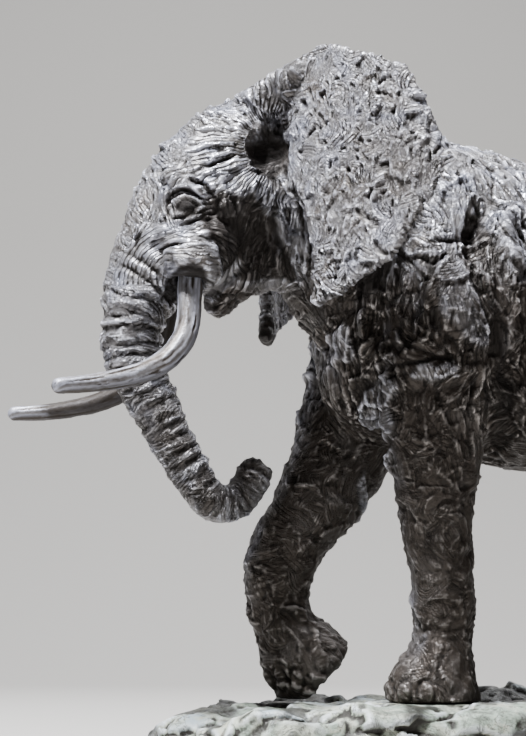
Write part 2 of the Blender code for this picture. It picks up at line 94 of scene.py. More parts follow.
def layered(points, size, seed, octaves=3):
    """Noise in several finenesses."""
    total = np.zeros(len(points))
    for k in range(octaves):
        total += noise(points, size / 2**k, seed + k) / 1.8**k
    return total / 1.6


def unit(vectors):
    """The vectors at length 1."""
    return vectors / np.maximum(np.linalg.norm(vectors, axis=-1, keepdims=True), 1e-9)


def dot(a, b):
    """The dot product of each pair of rows."""
    return np.einsum("...k,...k->...", a, b)


def ramp(values, low, high):
    """0 below low, 1 above high, smooth between them."""
    share = np.clip((values - low) / (high - low), 0, 1)
    return share * share * (3 - 2 * share)


def fall(values, low, high):
    """1 below low, 0 above high, smooth between them."""
    return 1 - ramp(values, low, high)


def lengths(vectors):
    """The length of each row."""
    return np.linalg.norm(vectors, axis=1)


def sampled(line, places):
    """The points of a line at these places, counted in its points."""
    return np.stack([np.interp(places, np.arange(len(line)), column) for column in line.T], 1)


# Meshes


def placed(name, data):
    """A new object in the scene."""
    obj = bpy.data.objects.new(name, data)
    bpy.context.scene.collection.objects.link(obj)
    return obj


def rows_of(items, name, width, kind):
    """A property of mesh items as the rows of an array."""
    values = np.empty(len(items) * width, kind)
    items.foreach_get(name, values)
    return values.reshape(-1, width)


def dense_copy(node, voxel, smoothing):
    """The node's mesh as an even, dense one: its points in metres, its normals, quads and edges."""
    work = placed("work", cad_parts[node].data.copy())
    remesh = work.modifiers.new("remesh", "REMESH")
    remesh.mode = "VOXEL"
    remesh.voxel_size = voxel
    smooth = work.modifiers.new("smooth", "SMOOTH")
    smooth.factor = 0.5
    smooth.iterations = smoothing
    graph = bpy.context.evaluated_depsgraph_get()
    mesh = bpy.data.meshes.new_from_object(work.evaluated_get(graph))
    bpy.data.objects.remove(work)
    points = rows_of(mesh.vertices, "co", 3, np.float32).astype(float)
    normals = rows_of(mesh.vertex_normals, "vector", 3, np.float32).astype(float)
    quads = rows_of(mesh.loops, "vertex_index", 1, np.int32).reshape(-1, 4)
    edges = rows_of(mesh.edges, "vertices", 2, np.int32)
    bpy.data.meshes.remove(mesh)
    return points, normals, quads, edges


def blurred(values, edges, rounds):
    """Values at points, each averaged with its neighbours' `rounds` times."""
    a, b = edges[:, 0], edges[:, 1]
    count = np.bincount(a, minlength=len(values)) + np.bincount(b, minlength=len(values))
    for _ in range(rounds):
        total = np.bincount(a, values[b], len(values)) + np.bincount(b, values[a], len(values))
        values = 0.5 * values + 0.5 * total / np.maximum(count, 1)
    return values


def vertex_normals(points, quads):
    """Smooth normals of a mesh of quads."""
    one = points[quads[:, 2]] - points[quads[:, 0]]
    two = points[quads[:, 3]] - points[quads[:, 1]]
    face = np.cross(one, two)
    total = np.zeros_like(points)
    for k in range(4):
        for axis in range(3):
            total[:, axis] += np.bincount(quads[:, k], face[:, axis], len(points))
    return unit(total)


def tree_of(points):
    """A search tree over points."""
    tree = kdtree.KDTree(len(points))
    for index, point in enumerate(points):
        tree.insert(point, index)
    tree.balance()
    return tree


def nearest(spots, points, count):
    """For each point, the indices of the `count` spots nearest to it."""
    tree = tree_of(spots)
    found = np.zeros((len(points), count), np.int32)
    for row, point in enumerate(points):
        hits = tree.find_n(point, count)
        found[row, : len(hits)] = [h[1] for h in hits]
    return found


def raised(points, normals, out):
    """The points moved along their normals by `out` millimetres, and kept inside the CAD model's box."""
    low, high = (np.array(corner) for corner in cad_box)
    return np.clip(points + normals * (out * 0.001)[:, None], low + BOX_MARGIN, high - BOX_MARGIN)


def add_piece(name, points, quads, normals, values, node, material):
    """Makes an object of these faces, with its normals and its named values at points."""
    used = np.unique(quads)
    renumber = np.zeros(len(points), np.int32)
    renumber[used] = np.arange(len(used))
    mesh = bpy.data.meshes.new(name)
    mesh.vertices.add(len(used))
    mesh.vertices.foreach_set("co", points[used].astype(np.float32).ravel())
    mesh.loops.add(quads.size)
    mesh.loops.foreach_set("vertex_index", renumber[quads].ravel())
    mesh.polygons.add(len(quads))
    mesh.polygons.foreach_set("loop_start", np.arange(len(quads), dtype=np.int32) * 4)
    mesh.update(calc_edges=True)
    mesh.shade_smooth()
    for label, numbers in values.items():
        attribute = mesh.attributes.new(label, "FLOAT", "POINT")
        attribute.data.foreach_set("value", numbers[used].astype(np.float32))
    mesh.normals_split_custom_set_from_vertices(normals[used].tolist())
    obj = placed(name, mesh)
    mesh.materials.append(material)
    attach(obj, "root")
    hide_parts(node)


# Clay strokes


def clay_strokes(points, normals, seed, spacing, length, width, height, strand, stray):
    """Overlapping strips of clay laid along the flow, where the last one laid covers the others.

    Each strip stands a little out, leans to one side and is dragged into strands that run along it.
    The result is how far each point stands out and where the point lies on its strip: along it in
    millimetres, across it in strands, and a number that differs from strip to strip.
    """
    rng = np.random.default_rng(seed)
    amount = int(len(points) * (FIGURE_VOXEL * 1000) ** 2 / (1.42 * spacing**2))
    chosen = rng.choice(len(points), amount, replace=False)
    centres, ups = points[chosen], normals[chosen]
    small = masks_of(centres)
    small = np.clip(small.ear + 0.7 * small.trunk + 0.6 * small.leg, 0, 1)
    along = unit(flow(centres, ups, rng)) + rng.normal(0, stray, centres.shape)
    along = unit(along - ups * dot(along, ups)[:, None])
    across = np.cross(ups, along)
    long = length * rng.uniform(0.6, 1.5, amount) * (1 - 0.45 * small)
    wide = width * rng.uniform(0.6, 1.4, amount) * (1 - 0.25 * small)
    bend = rng.normal(0, 0.007, amount) * (1 + 3.5 * small)
    rank = rng.uniform(0, 1, amount)
    level = height * rng.uniform(-0.1, 1.0, amount)
    tilt = rng.normal(0, 0.65, amount)
    phase = rng.uniform(0, 9.0, amount)
    strands = strand * rng.uniform(0.75, 1.3, amount) * (1 - 0.15 * small)
    near = nearest(centres, points, 12)
    total = np.zeros(len(points))
    place = np.zeros((len(points), 3))
    best = np.full(len(points), -1.0)
    for k in range(near.shape[1]):
        dab = near[:, k]
        offset = points - centres[dab]
        s = dot(offset, along[dab])
        t = dot(offset, across[dab]) - bend[dab] * s * s
        s_share = s / long[dab]
        t_share = t / (wide[dab] * (1 - 0.3 * s_share**2))
        lift = dot(offset, ups[dab])
        inside = (np.abs(s_share) < 1) & (np.abs(t_share) < 1) & (np.abs(lift) < 4 + width)
        edge = np.abs(t_share)
        shape = level[dab] * (1 - 0.4 * s_share**2)
        shape += height * (0.22 * np.exp(-(((edge - 0.84) / 0.16) ** 2)) - 0.16 * (1 - edge**2))
        shape += height * tilt[dab] * t_share * 0.6
        shape += height * 0.35 * np.clip(s_share, 0, 1) ** 4
        wins = inside & (rank[dab] > best)
        total = np.where(wins, shape, total)
        place = np.where(wins[:, None], np.stack([s, t / strands[dab] + phase[dab], phase[dab]], 1), place)
        best = np.where(wins, rank[dab], best)
    return total, place


def cuts(points, lines, width, depth, lip):
    """Grooves along lines of close points, each line with its own width and depth."""
    spots, wides, deeps = [], [], []
    for line, wide, deep in lines:
        reach = np.linspace(0, 1, len(line))
        taper = np.clip(np.minimum(reach, 1 - reach) * 5, 0.15, 1)
        spots.append(line)
        wides.append(width * wide * (0.6 + 0.4 * taper))
        deeps.append(depth * deep * taper)
    spots, wides, deeps = np.vstack(spots), np.concatenate(wides), np.concatenate(deeps)
    near = nearest(spots, points, 1)[:, 0]
    ragged = 1 + 0.35 * noise(points, 4.5, 17)
    gap = lengths(points - spots[near]) / (wides[near] * ragged)
    groove = -np.exp(-(gap**2)) + lip * np.exp(-((gap - 1.9) ** 2) / 0.5)
    return deeps[near] * groove


def traced(chosen, tree, points, normals, steps, rng, stride=4.0):
    """Lines that start at the chosen points and follow the flow of the clay over the surface."""
    lines = []
    for start in chosen:
        here, facing = points[start], normals[start]
        heading = None
        sway = rng.normal(0, 0.18)
        line = [here]
        for _ in range(int(steps * rng.uniform(0.4, 1.4))):
            ahead = flow(here[None], facing[None], None)[0]
            ahead = ahead - facing * np.dot(ahead, facing)
            side = np.cross(facing, ahead)
            sway = 0.8 * sway + rng.normal(0, 0.09)
            ahead = ahead + side * sway
            ahead /= max(np.linalg.norm(ahead), 1e-9)
            if heading is not None and np.dot(heading, ahead) < 0:
                ahead = -ahead
            heading = ahead
            _, index, gap = tree.find(here + ahead * stride)
            if gap > 6:
                break
            here, facing = 0.5 * (here + ahead * stride) + 0.5 * points[index], normals[index]
            line.append(here)
        if len(line) > 3:
            line = np.array(line)
            fine = np.linspace(0, len(line) - 1, (len(line) - 1) * 4 + 1)
            lines.append(sampled(line, fine))
    return lines


# Where the figure's parts lie, in millimetres of its own layout
TRUNK = np.array([
    (-232, 450), (-262, 424), (-281, 400), (-291, 376), (-293, 352), (-290, 330), (-280, 308),
    (-266, 283), (-250, 254), (-233, 225), (-220, 205), (-206, 194), (-190, 195), (-177, 206),
    (-167, 222), (-159, 236),
], float)
EYE = np.array([-252.0, 67.0, 479.0])
TEMPLE = np.array([-160.0, 62.0, 548.0])
TUSK_EXIT = np.array([-247.0, 55.0, 409.0])
FEET = [(2, -52, 0), (447, -56, 0), (314, 56, 0)]
RAISED_FOOT = (-98, 52, 10)


def mirrored(points):
    """The points with the far side folded onto the near one, as positive y."""
    folded = points.copy()
    folded[:, 1] = np.abs(folded[:, 1])
    return folded


def trunk_run(points):
    """Distance along the trunk and from its middle line, in millimetres."""
    fine = np.linspace(0, len(TRUNK) - 1, 240)
    x, z = sampled(TRUNK, fine).T
    line = np.stack([x, np.zeros_like(x), z], 1)
    run = np.r_[0, np.cumsum(lengths(np.diff(line, axis=0)))]
    near = nearest(line, points, 1)[:, 0]
    tangent = unit(np.gradient(line, axis=0))
    return run[near], lengths(points - line[near]), tangent[near]


def masks_of(points):
    """How much each point belongs to each part of the figure."""
    fold = mirrored(points)
    x, y, z = fold.T
    run, gap, _ = trunk_run(points)
    trunk = fall(gap, 50, 60) * ramp(450 - z, -10, 20) * (x < -140) * (y < 62)
    # An ear stands out of the line of the skull and neck, which widens towards the shoulder
    ear_line = 62 + np.clip(x + 150, 0, 200) * 0.62
    ear = ramp(y, ear_line + 4, ear_line + 16) * ramp(z, 376, 384) * (x > -160) * (x < 20)
    head = (x < -120) * (z > 380) * (1 - ear)
    leg = fall(z, 225, 300)
    return SimpleNamespace(trunk=trunk, ear=ear, head=head, leg=leg * (1 - trunk), run=run)


def flow(points, ups, rng):
    """The direction that the clay was worked in at each point."""
    fold = mirrored(points)
    mask = masks_of(points)
    sides = np.ones(points.shape)
    sides[:, 1] = np.sign(points[:, 1] + 1e-6)
    up, back = np.array([0, 0, 1.0]), np.array([1.0, 0, 0])
    turned = noise(points, 34, 5)[:, None] * 3.2

    def swayed(share):
        return np.cos(turned * share) * up + np.sin(turned * share) * back

    def blended(old, new, share):
        return old + (new - old) * share[:, None]

    direction = blended(swayed(0.35), swayed(0.9), mask.leg)
    direction = blended(direction, np.cross(ups, up), 0.45 * fall(points[:, 2], 95, 150))
    direction = blended(direction, swayed(1.6), mask.ear)
    # Out of the temple's hollow, across the forehead, and around the tusk's root, the eye and the trunk
    away = lengths(fold - TEMPLE)
    radial = fall(away, 105, 135) * ramp(fold[:, 2], 480, 505) * mask.head
    direction = blended(direction, unit((fold - TEMPLE) * sides), radial)
    front = mask.head * fall(fold[:, 1], 22, 40)
    direction = blended(direction, np.array([0.3, 0.9, 0.3]), front)
    gap = lengths(fold - TUSK_EXIT)
    cheek = fall(gap, 62, 82) * (fold[:, 2] > 385) * mask.head
    direction = blended(direction, unit(np.cross(ups, points - TUSK_EXIT * sides)), cheek)
    around = fall(lengths(fold - EYE), 26, 38)
    direction = blended(direction, unit(np.cross(ups, points - EYE * sides)), around)
    direction = blended(direction, np.cross(ups, trunk_run(points)[2]), mask.trunk)
    if rng is not None:
        jitter = rng.normal(0, 1, points.shape) * (0.12 + 0.75 * mask.ear + 0.25 * mask.leg)[:, None]
        direction = unit(direction) + jitter
    return direction


def eye_relief(points):
    """An eye sunk between heavy, uneven lids, under a crease and a brow, with folds behind it."""
    fold = mirrored(points)
    offset = fold - EYE
    a = offset[:, 0] + 1.5 * noise(points, 10, 55)
    b = offset[:, 2] + 1.3 * noise(points, 8, 56)
    near = ramp(fold[:, 1], 40, 52)

    def band(values, middle, half):
        return np.exp(-(((values - middle) / half) ** 2))

    def within(values, low, high, soft=3.0):
        return ramp(values, low - soft, low) * fall(values, high, high + soft)

    # The socket is a hooded hollow, squarer at the front, with the ball deep inside it
    opening = np.sqrt((a / 10.5) ** 2 + ((b - 0.5) / 8.0) ** 2)
    shape = -4.2 * fall(opening, 0.82, 1.04)
    shape += 3.4 * np.sqrt(np.clip(1 - ((a + 1.5) / 8.0) ** 2 - ((b - 0.5) / 7.0) ** 2, 0, 1))
    # The upper lid arches over it, with a second fold and a deep crease under the brow
    arch = b - 8.5 + 0.04 * (a + 1) ** 2
    over = within(a, -15, 16)
    shape += over * (2.6 * band(arch, 1.6, 1.5) - 2.2 * band(arch, 4.6, 0.9) + 1.9 * band(arch, 6.8, 1.3))
    shape += over * (2.6 * band(arch, 14.5, 3.6) - 3.6 * band(arch, 9.8, 1.5))
    # The lower lid rises from the front to the back corner, over a soft bag
    sag = b + 8.0 - 0.24 * (a + 8) - 0.01 * a**2
    under = within(a, -11, 13)
    shape += under * (2.2 * band(sag, 0.4, 1.5) - 2.0 * band(sag, -3.2, 1.0) + 1.7 * band(sag, -6.4, 1.7))
    shape -= 2.8 * within(a, -7, 15) * band(sag, -10.5, 1.6)
    # Folds in front of the front corner and behind the back one
    shape += 1.5 * within(a, -22, -12) * within(b, -9, 8) * np.sin(a * 1.25 + 0.25 * b)
    shape += 1.5 * within(a, 13, 30, 5) * within(b, -10, 12, 5) * np.sin(b * 1.15 - 0.35 * a)
    reach = np.hypot(a, b * 1.15)
    # Painted shade in the opening, in the deep crease under the brow, and in the creases under the lower lid
    # and under its bag
    painted_shade = np.maximum(0.95 * fall(opening, 0.8, 1.05), 0.85 * over * band(arch, 9.8, 2.4))
    painted_shade = np.maximum(painted_shade, 0.7 * under * band(sag, -3.2, 1.3))
    painted_shade = np.maximum(painted_shade, 0.75 * within(a, -7, 15) * band(sag, -10.5, 2.0))
    return shape * near * fall(reach, 26, 36), painted_shade * near


def nails(points):
    """Toenails around the front of each foot."""
    total = np.zeros(len(points))
    for x, y, base in FEET + [RAISED_FOOT]:
        dx, dy, z = points[:, 0] - x, points[:, 1] - y, points[:, 2] - base
        turn = np.arctan2(dy, -dx)
        here = (np.hypot(dx, dy) < 62) & (z < 40)
        for k in range(5):
            middle = (k - 2) * 0.52
            side = (turn - middle) * 42 / 7.8
            rise = (z - 10) / 11.0
            reach = np.sqrt(side**2 + rise**2)
            nail = 2.3 * np.clip(1 - reach**4, 0, 1) - 2.0 * np.exp(-(((reach - 1.12) / 0.15) ** 2))
            total += np.where(here & (np.abs(turn - middle) < 0.6), nail, 0)
    return total


# Broad forms that the light catches: x, z, half length, half width, turn in degrees, height
BROAD = [
    (-168, 538, 34, 20, 80, -9.0),
    (-190, 446, 44, 20, 75, -6.5),
    (-238, 424, 30, 22, 60, 3.0),
    (-150, 400, 40, 18, 20, -4.0),
    (8, 400, 52, 30, 78, 4.5),
    (62, 330, 95, 15, 104, -7.0),
    (40, 470, 46, 15, 60, -4.5),
    (-40, 430, 40, 12, 70, -4.0),
    (-62, 310, 20, 12, 10, -5.5),
    (10, 322, 46, 9, 8, 3.0),
    (-4, 304, 50, 8, 6, -3.5),
    (120, 380, 70, 30, 60, 4.0),
    (190, 350, 80, 16, 70, -4.5),
    (270, 420, 70, 26, 50, 4.0),
    (330, 330, 60, 14, 60, -5.0),
    (400, 380, 60, 26, 80, 3.5),
    (-12, 150, 46, 9, 84, -3.5),
    (22, 210, 60, 9, 95, -3.5),
    (-18, 240, 50, 12, 95, 2.5),
]


def broad_forms(fold):
    """Broad swells and hollows on both flanks."""
    total = np.zeros(len(fold))
    for x, z, long, wide, turn, height in BROAD:
        angle = math.radians(turn)
        dx, dz = fold[:, 0] - x, fold[:, 2] - z
        s = (dx * math.cos(angle) + dz * math.sin(angle)) / long
        t = (-dx * math.sin(angle) + dz * math.cos(angle)) / wide
        total += height * np.exp(-(s**2) - t**2)
    return total


# The layers of clay strokes, broad to fine: seed, spacing, length, width, height, strand and stray
LAYERS = [
    (20, 17.0, 30, 13.0, 4.2, 4.0, 0.35),
    (21, 8.5, 21, 7.8, 3.0, 4.6, 0.16),
    (22, 6.6, 14, 3.4, 2.2, 3.6, 0.22),
]
# The width of a cheek arc, and the strip number that ridges and arcs have in common
ARC_WIDTH = 4.8
RIDGE_STRIP = 0.25


def stacked(run, noisy, sizes, lean):
    """Bands one after another along a run of distances: full in the middle, cut deep between."""
    steps = np.cumsum(sizes)
    place = np.clip(np.searchsorted(steps, run + noisy), 0, len(steps) - 1)
    low = np.r_[0, steps][place]
    share = np.clip((run + noisy - low) / np.asarray(sizes)[place], 0, 1)
    return np.sin(math.pi * share**lean) ** 0.42 - 0.72


def ear_nicks(local, normals, ear, rng):
    """Short curved nicks on the ears: lines of points, each with its share of the width and depth."""
    chosen = rng.choice(np.flatnonzero(ear > 0.6), 230, replace=False)
    ahead = unit(rng.normal(0, 1, (len(chosen), 3)))
    ahead = unit(ahead - normals[chosen] * dot(ahead, normals[chosen])[:, None])
    aside = np.cross(normals[chosen], ahead)
    nicks = []
    for c, heading, side in zip(chosen, ahead, aside):
        reach = np.linspace(-1, 1, 9)[:, None] * rng.uniform(2.5, 7.5)
        line = local[c] + heading * reach + side * reach**2 * rng.normal(0, 0.06)
        nicks.append((line, rng.uniform(0.6, 1.2), rng.uniform(0.4, 1.3)))
    return nicks


def scored(local, normals, mask, calm, rng):
    """Short gaps between the strips, a few long cuts along the flow, ragged pits, and nicks on the ears."""
    tree = tree_of(local)

    def along_flow(amount, steps, widths, depths):
        chosen = rng.choice(len(local), amount, replace=False)
        lines = traced(chosen, tree, local, normals, steps, rng)
        return [(line, rng.uniform(*widths), rng.uniform(*depths)) for line in lines]

    body = (1 - mask.ear) * (1 - mask.trunk)
    short = along_flow(1300, 3, (0.6, 1.2), (0.4, 1.3))
    total = cuts(local, short, 1.7, 3.4, 0.25) * calm
    long = along_flow(240, 11, (0.7, 1.5), (0.4, 1.4))
    total += cuts(local, long, 2.0, 3.8, 0.3) * calm * body
    chosen = rng.choice(len(local), 300, replace=False)
    spread = rng.normal(0, 2.3, (len(chosen), 4, 3))
    pits = [(local[c] + d, rng.uniform(0.6, 1.2), rng.uniform(0.4, 1)) for c, d in zip(chosen, spread)]
    total += cuts(local, pits, 1.5, 9.0, 0.06) * calm
    return total + cuts(local, ear_nicks(local, normals, mask.ear, rng), 1.25, 3.4, 0.3)


def trunk_folds(local, mask, rng):
    """Folds around the trunk, wide and deep above and broken lower down, and how dark their gaps are painted
    as shade.
    """
    run = mask.run
    here = mask.trunk * ramp(run, 18, 50)
    sway = 4.0 * noise(local, 32, 31) + 1.2 * noise(local, 12, 32)
    wide = stacked(run, sway, rng.uniform(9, 19, 40), 1.25)
    sway = 3.0 * noise(local, 18, 34) + 1.0 * noise(local, 8, 35)
    close = stacked(run, sway, rng.uniform(4.5, 9, 80), 1.0)
    deep = np.clip(0.6 + 0.8 * noise(local, 24, 33) + 0.6 * fall(run, 130, 165), 0.12, 1.7)
    gaps = np.clip((-wide - 0.3) / 0.35, 0, 1) * np.clip(deep, 0, 1)
    return (3.4 * wide * deep + close) * here, 0.85 * gaps * here


def leg_wrinkles(local, mask, rng):
    """Wrinkles around the lower legs and across the bent wrist."""
    x, y, z = local.T
    rise = z + 5 * noise(local, 30, 41) + 2 * noise(local, 9, 42)
    wave = stacked(rise, 0, rng.uniform(7, 16, 40), 0.8)
    patch = np.clip(0.3 + 1.1 * noise(local, 34, 43), 0, 1)
    where = mask.leg * fall(z, 120, 190) * ramp(z, 34, 48) * patch
    wrist = np.exp(-(((z - 122) / 44) ** 2)) * (x < -120) * (y > 0) * (1 - mask.trunk)
    slant = stacked(z - 0.45 * x + 3 * noise(local, 18, 44), 200, rng.uniform(6, 12, 90), 0.8)
    return 2.2 * where * wave + 2.0 * wrist * slant


def temple_ridges(local, fold, mask):
    """Ridges from the brow into the hollow of the temple: their height, extent and strip places."""
    offset = fold - TEMPLE
    away = np.hypot(offset[:, 0], offset[:, 2])
    angle = np.arctan2(offset[:, 2], offset[:, 0]) + 0.08 * noise(local, 16, 51)
    turns = angle * 13 + 1.1 * noise(local, 26, 53) + 0.35 * noise(local, 9, 54)
    comb = np.abs(np.sin(math.pi * turns)) ** 0.6 - 0.6
    where = ramp(away, 26, 40) * fall(away, 74, 104) * mask.head * ramp(fold[:, 1], 30, 44)
    where *= ramp(fold[:, 2], 478, 500) * (1 - mask.ear) * ramp(noise(local, 28, 57), -0.75, -0.2)
    place = np.stack([away, turns, np.full(len(local), RIDGE_STRIP)], 1)
    return 2.0 * comb * where * (0.7 + 0.6 * noise(local, 24, 52)), where > 0.45, place


def cheek_arcs(local, fold, root_gap, cheek):
    """Arcs on the cheek around the root of the tusk: their height, extent and strip places."""
    offset = fold - TUSK_EXIT
    wave = np.abs(np.sin(math.pi * root_gap / ARC_WIDTH)) ** 0.5 - 0.7
    height = 2.0 * wave * cheek * np.clip(0.9 + 0.6 * noise(local, 20, 62), 0.2, 1.4)
    where = (cheek > 0.35) & (lengths(fold - EYE) > 27)
    turn = 30 * np.arctan2(offset[:, 2], offset[:, 0])
    return height, where, np.stack([turn, root_gap / ARC_WIDTH, np.full(len(local), RIDGE_STRIP)], 1)


def worked_height(local, normals, edges, mask, forms_seen, quiet):
    """How far the clay stands out at each point, in millimetres, its strips, and the painted shade in its
    hollows and creases.
    """
    rng = np.random.default_rng(11)
    fold = mirrored(local)
    z = local[:, 2]
    ear, trunk, head = mask.ear, mask.trunk, mask.head
    soft_eye = fall(lengths(fold - EYE), 18, 30)
    root_gap = lengths((fold - TUSK_EXIT) * [0.8, 1, 1.1]) + 1.6 * noise(local, 14, 61)
    cheek = ramp(root_gap, 12, 17) * fall(root_gap, 54, 72) * head * ramp(fold[:, 2], 400, 408)

    forms = broad_forms(fold) * (1 - ear) * ramp(fold[:, 1], 22, 40)
    lit, shaded, dark = forms_seen
    out = 1.1 * layered(local, 26, 1) + forms + 4.2 * lit - 4.2 * shaded
    out += 2.2 * layered(local, 34, 3) * mask.leg * fall(z, 55, 75)
    laid = [clay_strokes(local, normals, *layer) for layer in LAYERS]
    (slabs, _), (strips, on_strip), (ropes, on_rope) = laid
    calm = (1 - 0.45 * trunk) * (1 - 0.2 * ear) * (1 - 0.85 * soft_eye) * (1 - 0.55 * quiet)
    calm *= 1 - 0.6 * cheek
    out += (strips + 0.85 * ropes * ramp(noise(local, 30, 19), -0.35, 0.25)) * calm
    out += slabs * (1 - ear) * (1 - trunk) * (1 - 0.6 * head) * (1 - 0.4 * mask.leg)
    out += scored(local, normals, mask, (1 - soft_eye) * (1 - 0.5 * quiet), rng)
    seams, seam_painted_shade = creases(local, mask)
    folds, fold_painted_shade = trunk_folds(local, mask, rng)
    out += seams + folds + leg_wrinkles(local, mask, rng) + nails(local)

    # The ridges and arcs are strands too, so they take the place of the strips under them
    for height, where, place in (temple_ridges(local, fold, mask), cheek_arcs(local, fold, root_gap, cheek)):
        out += height
        on_strip, on_rope = (np.where(where[:, None], place, old) for old in (on_strip, on_rope))
    # The tusk comes out of a hollow under the cheek, and the cheek's shadow around it is painted dark
    arch = np.hypot((fold[:, 0] + 250) / 20, (fold[:, 2] - 403) / 18) + 0.1 * noise(local, 9, 63)
    ring = fall(arch, 0.82, 1.04) * head * (fold[:, 1] > 24)
    eye, eye_painted_shade = eye_relief(local)
    out += eye - 3.5 * ring

    # Painted shade: the eye's opening and creases, the deep broad hollows, the trunk's fold gaps, the long
    # creases, the head's hollows, the ring round the tusk and the ears' shadow on the neck
    form_painted_shade = np.clip((-forms - 2.0) / 5.0, 0, 0.92)
    painted_shades = [eye_painted_shade, form_painted_shade, fold_painted_shade, seam_painted_shade, 0.62 * dark, 0.9 * ring, painted_ear_shadow(fold, ear)]
    painted_shade = np.max(painted_shades, axis=0)
    out = blurred(out, edges, 1)
    socket = lengths(fold - (TUSK_EXIT + [0, -4, 12]))
    out *= ramp(z, 0.5, 3.0) * (0.4 + 0.6 * ramp(socket, 16, 22))
    return out, {"strip": on_strip, "rope": on_rope}, painted_shade


def inside(outline, x, z):
    """Whether points lie in an outline, seen from the side."""
    found = np.zeros(len(x), bool)
    for (x1, z1), (x2, z2) in zip(outline, outline[1:] + outline[:1]):
        spans = (z1 > z) != (z2 > z)
        found ^= spans & (x < x1 + (z - z1) * (x2 - x1) / (z2 - z1 + 1e-9))
    return found


# Forms of the flanks and the head as x and z, seen from the side: raised and lit, then sunk and shaded
RAISED = [
    [(-20, 437), (10, 443), (24, 408), (40, 378), (42, 352), (24, 348), (4, 365), (-13, 378), (-10, 405)],
    [(-11, 515), (22, 512), (26, 470), (16, 455), (-14, 450)],
    [(48, 480), (60, 500), (110, 492), (170, 470), (150, 430), (96, 420), (62, 440)],
    [(-96, 372), (-80, 370), (-76, 338), (-88, 328), (-98, 345)],
    [(-64, 312), (-50, 320), (-44, 250), (-40, 205), (-33, 150), (-38, 148), (-48, 205), (-60, 250)],
    [(-30, 330), (-4, 326), (6, 314), (-20, 310), (-40, 318)],
    [(190, 470), (240, 480), (290, 450), (270, 400), (210, 410)],
    [(330, 440), (385, 440), (420, 380), (380, 350), (340, 390)],
]
SUNK = [
    [(24, 482), (44, 478), (57, 438), (85, 398), (92, 300), (85, 240), (64, 262), (44, 332), (40, 378),
     (24, 408), (19, 438)],
    [(-60, 400), (-24, 404), (-12, 372), (4, 350), (-20, 336), (-60, 344), (-72, 372)],
    [(150, 400), (178, 430), (196, 390), (180, 320), (150, 300), (138, 340)],
    [(280, 380), (312, 420), (330, 370), (310, 300), (280, 280)],
]
# The head's hollows as x and z, seen from the side: the temple and the recess behind the cheek and under the
# ear, painted dark as shade
HOLLOWS = [
    [(-190, 548), (-145, 555), (-147, 525), (-167, 513), (-184, 533)],
    [(-236, 478), (-219, 500), (-182, 494), (-158, 476), (-143, 440), (-128, 412), (-96, 396), (-104, 366),
     (-151, 378), (-191, 388), (-210, 404), (-212, 425), (-219, 435), (-229, 445), (-237, 460)],
]


def patches(local, mask, edges):
    """How far each point lies in the raised and sunk forms and in the head's hollows, which are painted dark
    as shade.
    """
    fold = mirrored(local)
    x = fold[:, 0] + 5 * noise(local, 17, 98) + 2 * noise(local, 6, 99)
    z = fold[:, 2] + 5 * noise(local, 17, 100) + 2 * noise(local, 6, 101)
    flank = (fold[:, 1] > 24) & (mask.ear < 0.5) & (mask.trunk < 0.5)
    found = []
    for outlines in (RAISED, SUNK, HOLLOWS):
        hit = np.zeros(len(local), bool)
        for outline in outlines:
            hit |= inside(outline, x, z)
        found.append(blurred((hit & flank).astype(float), edges, rounds_for(2.5)))
    return found


# Creases as x and z seen from the side, each with its width and depth; they are sunk and painted dark as
# shade
CREASES = [
    ([(-167, 520), (-158, 490), (-155, 463), (-146, 440), (-132, 416)], 4.5, 4.0),
    ([(-219, 497), (-222, 476), (-231, 463), (-220, 440), (-212, 418), (-226, 403)], 3.0, 3.0),
    ([(-16, 446), (4, 449), (24, 452), (40, 458)], 2.6, 3.6),
    ([(40, 520), (22, 516), (6, 500), (2, 484)], 2.4, 3.2),
    ([(28, 500), (42, 480), (60, 462), (84, 440), (110, 410)], 3.2, 3.8),
    ([(-14, 405), (-30, 380), (-44, 340), (-60, 318)], 3.0, 3.4),
    ([(-62, 322), (-40, 326), (-16, 332), (10, 326), (30, 330)], 2.6, 3.4),
    ([(44, 350), (36, 330), (44, 300), (40, 262)], 3.0, 3.6),
    ([(62, 470), (90, 440), (104, 400), (120, 350)], 2.6, 2.8),
    ([(150, 470), (160, 430), (178, 380), (176, 330)], 3.0, 3.0),
    ([(230, 480), (262, 440), (280, 390), (284, 330)], 3.2, 3.4),
    ([(300, 300), (330, 320), (372, 324), (410, 306)], 3.0, 3.2),
    ([(-100, 372), (-92, 350), (-74, 330), (-70, 300)], 2.8, 3.2),
]


